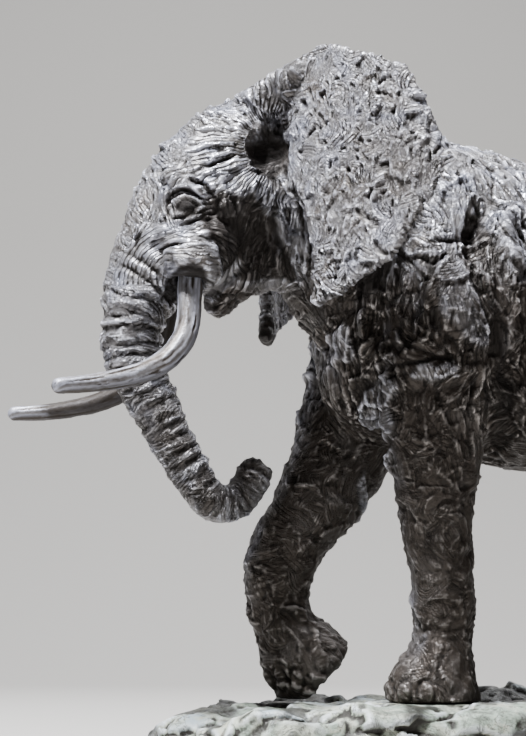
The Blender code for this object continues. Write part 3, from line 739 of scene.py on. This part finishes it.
def creases(local, mask):
    """The depth of the long creases and how dark they are painted as shade."""
    fold = mirrored(local)
    sway = np.stack([noise(local, 16, 102), np.zeros(len(local)), noise(local, 16, 103)], 1) * 3.5
    flat = (fold + sway) * [1, 0, 1]
    spots, widths, depths, headings = [], [], [], []
    for line, width, depth in CREASES:
        line = np.array(line, float)
        steps = np.linspace(0, len(line) - 1, len(line) * 14)
        px, pz = sampled(line, steps).T
        taper = np.sin(math.pi * (0.08 + 0.84 * steps / steps[-1])) ** 0.5
        spots.append(np.stack([px, np.zeros_like(px), pz], 1))
        widths.append(width * (0.55 + 0.45 * taper))
        depths.append(depth * taper)
        headings.append(unit(np.gradient(line, axis=0))[np.round(steps).astype(int)])
    spots, headings = np.vstack(spots), np.vstack(headings)
    widths, depths = np.concatenate(widths), np.concatenate(depths)
    near = nearest(spots, flat, 1)[:, 0]
    offset, ahead = flat - spots[near], headings[near]
    side = np.sign(offset[:, 0] * ahead[:, 1] - offset[:, 2] * ahead[:, 0])
    uneven = np.clip(0.75 + 0.7 * noise(local, 13, 106), 0.1, 1.3)
    share = lengths(offset) / widths[near]
    here = ramp(fold[:, 1], 20, 30) * (1 - mask.ear) * (1 - mask.trunk)
    groove = np.exp(-(share**2)) * here * uneven
    fold_over = np.exp(-(((share - 1.6) / 1.3) ** 2)) * here * (side > 0)
    dark = 0.75 * ramp(groove * depths[near] / 3, 0.3, 0.75)
    return depths[near] * (0.55 * fold_over - 0.8 * groove), dark


def painted_ear_shadow(fold, ear):
    """Painted shadow of the free edge of each ear on the neck and shoulder behind it."""
    flat = fold * [1, 0, 1]
    x, y, z = fold.T
    rim = flat[(ear > 0.6) & (x > -80)][::5]
    body = np.flatnonzero((ear < 0.5) & (x > -80) & (x < 50) & (z > 350) & (y > 15))
    near = nearest(rim, flat[body], 1)[:, 0]
    gap = lengths(flat[body] - rim[near]) + 3 * noise(fold[body], 15, 107)
    shade = np.zeros(len(fold))
    shade[body] = 0.9 * fall(gap, 18, 32)
    return shade


def quiet_parts(local, mask):
    """Where the strokes are shallow and smoothed: the legs, and patches elsewhere."""
    legs = 0.9 * mask.leg * (1 - mask.trunk)
    smooth = ramp(noise(local, 36, 105), 0.15, 0.5) * 0.7 * (1 - mask.trunk)
    ball = fall(lengths(mirrored(local) - EYE), 9, 19)
    return np.clip(np.maximum(np.maximum(legs, smooth), ball), 0, 1)


def brown_and_shaded_parts(local, normals, mask, lit, shaded, dark):
    """Where the colour is dark brown, as brown patina and as painted shade: the legs, belly, throat, lower
    trunk, shaded flanks, eye sockets, head hollows and the middle of each ear, less where light is painted.
    """
    x, y, z = mirrored(local).T
    uneven = 26 * layered(local, 60, 95)
    # Darker towards the bottom of the body and on the legs, as brown patina and painted shade; brown patches
    # on the lower trunk and in the middle of each ear
    body = fall(z + uneven, 375, 485)
    front = np.maximum(mask.ear, fall(x, -150, -110))
    trunk = 0.8 * fall(z + 0.5 * uneven, 250, 370) * ramp(layered(local, 40, 108), -0.35, 0.15)
    ear = 0.48 * mask.ear * np.exp(-(((x + 76) / 44) ** 2) - ((z - 500) / 66) ** 2)
    legs = fall(z, 205, 300) * (x > -200) * (mask.trunk < 0.5)
    # Painted light: surfaces facing the key light, high at the front left, are painted lighter
    facing = -0.86 * normals[:, 0] + 0.42 * normals[:, 2]
    painted_key_light = ramp(facing + 0.12 * layered(local, 20, 96), 0.66, 0.98) * (1 - 0.7 * mask.trunk)
    total = np.maximum(body * (1 - front) + trunk * front * (z > 170), legs)
    # Painted shade on the throat under the jaw and in each eye's socket
    throat = ramp(x, -222, -205) * fall(z + 0.3 * uneven, 408, 428)
    throat *= (mask.trunk < 0.5) * (1 - mask.ear)
    socket = np.hypot(x - EYE[0] + 2, 0.9 * (z - EYE[2])) + 0.3 * uneven
    total = np.maximum(total, np.maximum(0.95 * throat, 0.8 * fall(socket, 12, 25) * (y > 30)))
    total = np.maximum(total, ear) * (1 - 0.8 * painted_key_light * ramp(z, 30, 90))
    # The raised, lit forms get painted light; the sunk, shaded forms and the head's hollows get painted shade
    total = np.maximum(total * (1 - (0.85 - 0.35 * ramp(z, 300, 340)) * lit), 0.8 * shaded)
    return np.clip(np.maximum(total, 0.95 * dark), 0, 1)


def rounds_for(reach):
    """How often to blur so that values spread over about this many millimetres."""
    return max(1, round(2 * (reach / (FIGURE_VOXEL * 1000)) ** 2))


def figure(material):
    """The elephant, with its clay surface, in pieces that meet without a seam."""
    points, normals, quads, edges = dense_copy("elephant", FIGURE_VOXEL, 6)
    local = (points - ORIGIN) * 1000
    mask = masks_of(local)
    forms_seen, quiet = patches(local, mask, edges), quiet_parts(local, mask)
    out, dabs, painted_shade = worked_height(local, normals, edges, mask, forms_seen, quiet)
    moved = raised(points, normals, out)
    moved[:, 2] = np.maximum(moved[:, 2], SOLE_HEIGHT)
    values = {
        "cavity": out - blurred(out, edges, rounds_for(4)),
        "hollow": out - blurred(out, edges, rounds_for(11)),
        "brown_and_painted_shade": brown_and_shaded_parts(local, normals, mask, *forms_seen),
        "quiet": quiet,
        "painted_shade": painted_shade,
    }
    for label, place in dabs.items():
        for k, axis in enumerate(("along", "across", "strip")):
            values[f"{label}_{axis}"] = place[:, k]
    middle = points[quads].mean(1)[:, 0]
    count = math.ceil(2 * len(quads) / PIECE_TRIANGLES)
    limits = np.quantile(middle, np.linspace(0, 1, count + 1))
    limits[-1] += 1
    shaded = vertex_normals(moved, quads)
    for k in range(count):
        part = quads[(middle >= limits[k]) & (middle < limits[k + 1])]
        add_piece(f"elephant_{k + 1}", moved, part, shaded, values, "elephant", material)


# The far tusk is painted with shade behind its tip, in brown: where the painted shade starts and where it is
# full, in millimetres
FAR_TUSK_SHADE = (-538, -506)
# How many slices a tusk's middle line is measured in
SLICES = 60


def along_tusk(points):
    """Each point's place along a curved tusk, in slices, and its turn around it, from the top."""
    spread = points - points.mean(0)
    axis = np.linalg.svd(spread[:: max(1, len(points) // 4000)], full_matrices=False)[2][0]
    run = spread @ axis
    share = (run - run.min()) / (run.max() - run.min()) * SLICES
    bins = np.clip(share.astype(int), 0, SLICES - 1)
    centre = np.stack([np.bincount(bins, points[:, k], SLICES) for k in range(3)], 1)
    centre /= np.maximum(np.bincount(bins, minlength=SLICES), 1)[:, None]
    share -= 0.5
    offset = unit(points - sampled(centre, share))
    side = unit(np.cross(axis, [0, 0, 1.0]))
    return share, np.arctan2(offset @ side, offset @ np.cross(side, axis))


def tusk(node, material):
    """A tusk with lengthwise chasing marks, brighter above and brown towards the underside, and painted shade
    on the far tusk.
    """
    points, normals, quads, edges = dense_copy(node, TUSK_VOXEL, 7)
    share, turn = along_tusk(points)
    local = points * 1000
    stretched = np.stack([np.cos(turn) * 14, np.sin(turn) * 14, share * 0.9], 1)
    marks = layered(stretched, 3.0, 71) * 0.55 + layered(local, 12, 72, 2) * 0.45
    cut = np.clip(noise(stretched, 4.0, 73) - 0.4, 0, 1) * -2.4
    out = blurred(marks + cut, edges, 1)
    moved = raised(points, normals, out)
    brown = 0.75 * ramp(0.3 * marks - np.cos(turn), 0.05, 0.75)
    # Painted shade, in brown, on the far tusk behind its tip
    if node == "right_tusk":
        brown = np.maximum(brown, ramp(local[:, 0] + 6 * layered(local, 14, 75), *FAR_TUSK_SHADE))
    values = {
        "cavity": out - blurred(out, edges, 12),
        "streak": layered(stretched * [1, 1, 0.4], 6.0, 74),
        "brown": brown,
    }
    shaded = vertex_normals(moved, quads)
    add_piece(node + "_chased", moved, quads, shaded, values, node, material)


def broken(local):
    """Broken slabs of clay: how far each point stands out, its slab's shade and its nearness to a gap."""
    rng = np.random.default_rng(31)
    warp = np.stack([layered(local, 32, 110 + k) for k in range(3)], 1)
    spread = local * [0.8, 1.15, 1.6] + 19 * warp
    centres = rng.uniform(spread.min(0), spread.max(0), (420, 3))
    near = nearest(centres, spread, 2)
    first, second = (lengths(spread - centres[near[:, k]]) for k in range(2))
    level = rng.uniform(-4.0, 3.0, len(centres))[near[:, 0]]
    lean = rng.normal(0, 0.09, centres.shape)[near[:, 0]]
    depth = rng.uniform(0, 1, 997)[(near[:, 0] * near[:, 1]) % 997]
    width = 5.2 + 3.0 * noise(local, 14, 114)
    gap = np.exp(-(((second - first) / width) ** 2)) * ramp(depth, 0.4, 0.75)
    gap *= ramp(noise(local, 26, 115), -0.55, -0.1)
    shade = rng.uniform(0, 1, len(centres))[near[:, 0]]
    return level + dot(spread - centres[near[:, 0]], lean), shade, gap


def ground(material):
    """The slab: broken and pitted like weathered rock, and level under the feet."""
    points, normals, quads, edges = dense_copy("ground", GROUND_VOXEL, 3)
    local = (points - ORIGIN) * 1000
    x, y = local[:, 0], local[:, 1]
    level, shade, gap = broken(local)
    pits = ramp(noise(local, 9, 88), 0.42, 0.66)
    out = layered(local, 50, 81) * 2.6 + level - 6.5 * gap - 2.6 * pits + layered(local, 7.0, 91, 2) * 0.8
    away = np.full(len(local), 1e9)
    for foot_x, foot_y, _ in FEET:
        away = np.minimum(away, np.hypot(x - foot_x, y - foot_y))
    top = ramp(normals[:, 2], 0.2, 0.6)
    near = fall(away, 44, 74)
    out = out * (1 - near * top) - near * top * 0.4
    out = np.where(out > 0, out * 0.6, out)
    under = ramp(-normals[:, 2], 0.3, 0.7) + (points[:, 2] < 0.003)
    out = blurred(out, edges, 1) * (1 - np.clip(under, 0, 1))
    moved = raised(points, normals, out)
    moved[:, 2] = np.where(points[:, 2] < 0.0035, np.minimum(moved[:, 2], points[:, 2]), moved[:, 2])
    moved[:, 2] = np.where(under > 0.5, 0.0, np.maximum(moved[:, 2], 0.0))
    level_top = near * top > 0.25
    moved[level_top, 2] = np.minimum(moved[level_top, 2], SOLE_HEIGHT - 0.0004)
    shaded = vertex_normals(moved, quads)
    patchy = layered(local, 52, 97)
    # Painted shade: dark patches, more of them towards the back, and a painted shadow round the feet
    painted_shade_and_cracks = 0.9 * ramp(patchy + 0.4 * ramp(y, -40, 60) - 0.15 * ramp(-y, 90, 140), 0.12, 0.32)
    painted_shade_and_cracks = np.maximum(painted_shade_and_cracks, 0.6 * fall(away + 14 * patchy, 50, 76) * ramp(y, -90, -40))
    values = {
        "cavity": out - blurred(out, edges, 6),
        "hollow": out - blurred(out, edges, 40),
        "shade": shade,
        "painted_shade_and_cracks": np.maximum(painted_shade_and_cracks, np.maximum(0.95 * ramp(gap, 0.12, 0.6), 0.85 * pits)),
    }
    add_piece("ground_rock", moved, quads, shaded, values, "ground", material)


# Materials


class Nodes:
    """A small helper to lay out a material's nodes."""

    def __init__(self, name):
        self.material = bpy.data.materials.new(name)
        self.material.use_nodes = True
        self.tree = self.material.node_tree
        self.shader = self.tree.nodes["Principled BSDF"]

    def add(self, kind, **settings):
        node = self.tree.nodes.new(kind)
        for key, value in settings.items():
            setattr(node, key, value)
        return node

    @staticmethod
    def give(node, **numbers):
        for name, number in numbers.items():
            node.inputs[name.replace("_", " ")].default_value = number

    def link(self, source, target):
        self.tree.links.new(source, target)

    def value(self, name):
        return self.add("ShaderNodeAttribute", attribute_name=name).outputs["Fac"]

    def noise(self, scale, detail=6.0, rough=0.6, warp=0.0, where=None):
        node = self.add("ShaderNodeTexNoise")
        self.give(node, Scale=scale, Detail=detail, Roughness=rough, Distortion=warp)
        self.link(where or self.add("ShaderNodeTexCoord").outputs["Object"], node.inputs["Vector"])
        return node.outputs["Fac"]

    def ramp(self, source, stops):
        node = self.add("ShaderNodeValToRGB")
        band = node.color_ramp
        band.interpolation = "EASE"
        while len(band.elements) < len(stops):
            band.elements.new(0.5)
        for element, (place, colour) in zip(band.elements, stops):
            element.position = place
            element.color = (*colour, 1.0)
        self.link(source, node.inputs["Fac"])
        return node.outputs["Color"]

    def span(self, source, low, high, start=0.0, end=1.0):
        """The source from low to high spread over start to end, and held there beyond them."""
        node = self.add("ShaderNodeMapRange")
        self.give(node, From_Min=low, From_Max=high, To_Min=start, To_Max=end)
        self.link(source, node.inputs["Value"])
        return node.outputs["Result"]

    def fill(self, socket, source):
        """Sets a socket to a number or a colour, or links another node's output to it."""
        if isinstance(source, tuple):
            socket.default_value = (*source, 1.0)
        elif isinstance(source, (int, float)):
            socket.default_value = source
        else:
            self.link(source, socket)

    def mix(self, factor, one, two):
        node = self.add("ShaderNodeMix", data_type="RGBA")
        for index, source in ((0, factor), (6, one), (7, two)):
            self.fill(node.inputs[index], source)
        return node.outputs[2]

    def maths(self, kind, *sources):
        node = self.add("ShaderNodeMath", operation=kind)
        for index, source in enumerate(sources):
            self.fill(node.inputs[index], source)
        return node.outputs[0]

    def times(self, one, two):
        return self.maths("MULTIPLY", one, two)

    def plus(self, one, two):
        return self.maths("ADD", one, two)

    def finish(self, tone, rough, metallic, height, strength, distance):
        """Sets the shader's colour, roughness, metal and bump, and gives the material."""
        node = self.add("ShaderNodeBump")
        self.give(node, Strength=strength, Distance=distance)
        self.link(height, node.inputs["Height"])
        for source, name in ((node.outputs["Normal"], "Normal"), (tone, "Base Color"), (rough, "Roughness")):
            self.link(source, self.shader.inputs[name])
        self.give(self.shader, Metallic=metallic)
        return self.material


def strands(n, layer, wobble):
    """Strands along the strips of a layer: 0 in the grooves between them, 1 on their backs."""
    place = n.add("ShaderNodeCombineXYZ")
    for socket, axis, scale in (("X", "along", 0.09), ("Y", "across", 0.9), ("Z", "strip", 1.7)):
        n.link(n.times(n.value(f"{layer}_{axis}"), scale), place.inputs[socket])
    uneven = n.noise(1, 3, 0.6, where=place.outputs["Vector"])
    turn = n.times(n.plus(n.value(f"{layer}_across"), n.times(uneven, wobble)), math.pi)
    back = n.maths("POWER", n.maths("ABSOLUTE", n.maths("SINE", turn)), 0.5)
    return n.plus(back, n.span(uneven, 0.3, 0.7, -0.35, 0.25))


def figure_bronze():
    """Grey-brown patina, brown and painted shade low down, near black in the cuts as patina and painted
    shade, and rubbed silvery on the ridges with painted highlight.
    """
    n = Nodes("patinated_bronze")
    names = ("cavity", "hollow", "brown_and_painted_shade", "painted_shade", "quiet")
    cavity, hollow, brown_and_painted_shade, painted_shade, quiet = (n.value(name) for name in names)
    blotch = n.noise(24, 5, 0.62, 0.4)
    stops = [(0.3, (0.108, 0.095, 0.087)), (0.5, (0.17, 0.163, 0.167)), (0.72, (0.226, 0.234, 0.288))]
    silver = n.ramp(blotch, stops)
    stops = [(0.3, (0.023, 0.017, 0.013)), (0.5, (0.041, 0.032, 0.026)), (0.72, (0.072, 0.063, 0.058))]
    brown = n.ramp(blotch, stops)
    # Brown where the patina is brown and where shade is painted
    tone = n.mix(brown_and_painted_shade, silver, brown)
    # The strands stand out in some patches and strips, and are flattened in others
    backs = n.plus(n.times(strands(n, "strip", 1.1), 0.64), n.times(strands(n, "rope", 0.9), 0.36))
    patch = n.span(n.noise(42, 3, 0.5, 0.8), 0.4, 0.6, 0.35, 1)
    single = n.maths("FRACT", n.times(n.value("strip_strip"), 3.7))
    patch = n.times(patch, n.span(single, 0.1, 0.8, 0.35, 1))
    patch = n.times(patch, n.span(quiet, 0, 1, 1, 0.5))
    relief = n.times(n.span(backs, 0.28, 0.92, -0.72, 0.28), patch)
    # Lighter on the strands' backs and raised points and near black in the grooves, as worn patina and as
    # painted highlight and painted shade
    wear_and_painted_light = n.plus(n.times(cavity, 1.55), n.times(relief, 3.9))
    # The colour of the ridges' worn patina and painted highlight: pale blue-white, and pale brown on the
    # brown and shaded parts
    pale = n.mix(brown_and_painted_shade, (0.8, 0.81, 0.92), (0.3, 0.275, 0.262))
    tone = n.mix(n.times(n.span(wear_and_painted_light, 0.25, 1.9), n.span(quiet, 0, 1, 0.84, 0.62)), tone, pale)
    tone = n.mix(n.times(n.span(wear_and_painted_light, -0.38, -1.5), 0.93), tone, (0.013, 0.01, 0.008))
    # Near black in the broad hollows, as patina in them and as painted shade
    tone = n.mix(n.times(n.span(hollow, -1.6, -4.5), 0.88), tone, (0.012, 0.009, 0.007))
    # Near black where shade is painted
    tone = n.mix(painted_shade, tone, (0.012, 0.009, 0.008))
    rough = n.plus(n.span(wear_and_painted_light, -0.8, 1.4, 0.5, 0.27), n.times(quiet, 0.14))
    rough = n.plus(rough, n.times(painted_shade, 0.25))
    grain = n.times(n.noise(600, 4, 0.6), 0.1)
    return n.finish(tone, rough, 0.55, n.plus(relief, grain), 1, 0.0021)


def tusk_bronze():
    """Bright silvery blue with brown in its lengthwise marks and towards the undersides, and brown painted
    shade on the far tusk.
    """
    n = Nodes("chased_bronze")
    cavity, streak, brown = (n.value(name) for name in ("cavity", "streak", "brown"))
    stops = [(0.1, (0.07, 0.056, 0.048)), (0.42, (0.19, 0.183, 0.191)), (0.78, (0.38, 0.388, 0.462))]
    tone = n.ramp(n.span(streak, -0.7, 0.7), stops)
    tone = n.mix(n.span(cavity, 0.05, 0.4), tone, (0.56, 0.58, 0.69))
    tone = n.mix(n.span(cavity, -0.02, -0.24), tone, (0.032, 0.024, 0.019))
    # Dark brown towards the undersides, and as painted shade on the far tusk
    tone = n.mix(n.times(brown, 0.93), tone, (0.02, 0.014, 0.01))
    rough = n.plus(n.span(n.noise(300, 4), 0.3, 0.7, 0.4, 0.54), n.times(brown, 0.18))
    return n.finish(tone, rough, 0.45, n.noise(500, 5, 0.6, 0.4), 0.5, 0.0007)


def ground_bronze():
    """Pale green, cream and blue-grey over dark cracks, with painted shade towards the back and round the
    feet.
    """
    n = Nodes("verdigris_bronze")
    cavity, hollow, painted_shade_and_cracks, shade = (n.value(name) for name in ("cavity", "hollow", "painted_shade_and_cracks", "shade"))
    stain = n.noise(60, 6, 0.7, 0.5)
    place = n.plus(n.span(shade, 0, 1, -0.12, 0.12), n.noise(15, 6, 0.62, 0.8))
    stops = [(0.28, (0.18, 0.205, 0.165)), (0.42, (0.29, 0.345, 0.285))]
    stops += [(0.54, (0.44, 0.465, 0.385)), (0.72, (0.36, 0.43, 0.475))]
    tone = n.ramp(place, stops)
    tone = n.mix(n.span(stain, 0.54, 0.7), tone, (0.5, 0.48, 0.38))
    tone = n.mix(n.span(stain, 0.47, 0.34), tone, (0.075, 0.078, 0.066))
    # Lighter on the raised points, as pale patina and as painted highlight
    tone = n.mix(n.span(cavity, 0.1, 1.4), tone, (0.6, 0.64, 0.65))
    tone = n.mix(n.span(cavity, -0.1, -0.85), tone, (0.024, 0.022, 0.017))
    tone = n.mix(n.times(n.span(hollow, -1.2, -4.5), 0.85), tone, (0.03, 0.027, 0.022))
    # Fine dark lines run where a noise crosses its middle value
    away = n.maths("ABSOLUTE", n.maths("SUBTRACT", n.noise(34, 5, 0.65, 1.4), 0.5))
    line = n.times(n.span(away, 0.006, 0.026, 0.65, 0), n.span(stain, 0.38, 0.5))
    tone = n.mix(line, tone, (0.03, 0.028, 0.023))
    # Near black in the cracks and pits and where shade is painted
    tone = n.mix(painted_shade_and_cracks, tone, (0.02, 0.018, 0.015))
    rough = n.maths("SUBTRACT", n.span(stain, 0.3, 0.7, 0.44, 0.66), n.times(painted_shade_and_cracks, 0.18))
    return n.finish(tone, rough, 0.25, n.plus(n.noise(260, 6, 0.7), stain), 0.8, 0.0016)


# The camera's tilt and its turn from the figure's side in degrees, its place in metres, its focal length
# and the picture's height in pixels, and the height of its sensor in millimetres
VIEW_TILT = 8.43
VIEW_TURN = 15
CAMERA_PLACE = (-0.7503, -1.6511, 0.128)
FOCAL_PIXELS = 1700
PICTURE_PIXELS = 736
SENSOR = 36
# The floor reaches from FLOOR_FRONT to FLOOR_BACK in metres, then curves up and rises to WALL_TOP
FLOOR_FRONT = -9.0
FLOOR_BACK = 1.6
CURVE = 1.2
WALL_TOP = 4.5
HALF_FLOOR = 9.0


def stage():
    """A pale floor that curves up into a backdrop."""
    rows = [(FLOOR_FRONT, 0.0), (FLOOR_BACK, 0.0)]
    for angle in np.linspace(0.1, math.pi / 2, 14):
        rows.append((FLOOR_BACK + CURVE * math.sin(angle), CURVE - CURVE * math.cos(angle)))
    rows.append((FLOOR_BACK + CURVE, WALL_TOP))
    turn = Matrix.Rotation(-math.radians(VIEW_TURN), 3, "Z")
    points = [turn @ Vector((x, y, z)) for y, z in rows for x in (-HALF_FLOOR, HALF_FLOOR)]
    mesh = bpy.data.meshes.new("floor")
    mesh.from_pydata(points, [], [(k, k + 1, k + 3, k + 2) for k in range(0, len(points) - 2, 2)])
    mesh.shade_smooth()
    floor = placed("floor", mesh)
    n = Nodes("pale_floor")
    n.give(n.shader, Base_Color=(0.42, 0.405, 0.385, 1), Roughness=0.9)
    mesh.materials.append(n.material)


def area_light(name, place, target, size, power, colour):
    """A soft square light at a place, turned to its target."""
    data = bpy.data.lights.new(name, "AREA")
    data.size = size
    data.energy = power
    data.color = colour
    light = placed(name, data)
    light.location = place
    light.rotation_mode = "QUATERNION"
    light.rotation_quaternion = (Vector(target) - Vector(place)).to_track_quat("-Z", "Y")


def lights():
    """A key light high at the front left, a weak rim light behind, a faint warm fill, and a dim surround."""
    area_light("key", (-1.1, -0.52, 2.7), (-0.15, 0, 0.4), 0.5, 360, (0.95, 0.97, 1.0))
    area_light("rim", (0.9, 1.1, 1.9), (0, 0, 0.4), 0.9, 30, (0.95, 0.96, 1.0))
    area_light("fill", (1.9, -2.2, 0.7), (0, 0, 0.3), 1.6, 4, (1.0, 0.9, 0.78))
    world = bpy.data.worlds.new("surround")
    world.use_nodes = True
    background = world.node_tree.nodes["Background"]
    background.inputs["Color"].default_value = (0.62, 0.6, 0.58, 1)
    background.inputs["Strength"].default_value = 0.1
    bpy.context.scene.world = world


def camera():
    """A low view from the elephant's left, looking a little up and towards its tail."""
    data = bpy.data.cameras.new("camera")
    data.lens = FOCAL_PIXELS * SENSOR / PICTURE_PIXELS
    view = placed("camera", data)
    view.location = CAMERA_PLACE
    view.rotation_euler = (math.radians(90 + VIEW_TILT), 0, -math.radians(VIEW_TURN))
    bpy.context.scene.camera = view


figure(figure_bronze())
chased = tusk_bronze()
tusk("left_tusk", chased)
tusk("right_tusk", chased)
ground(ground_bronze())
stage()
lights()
camera()
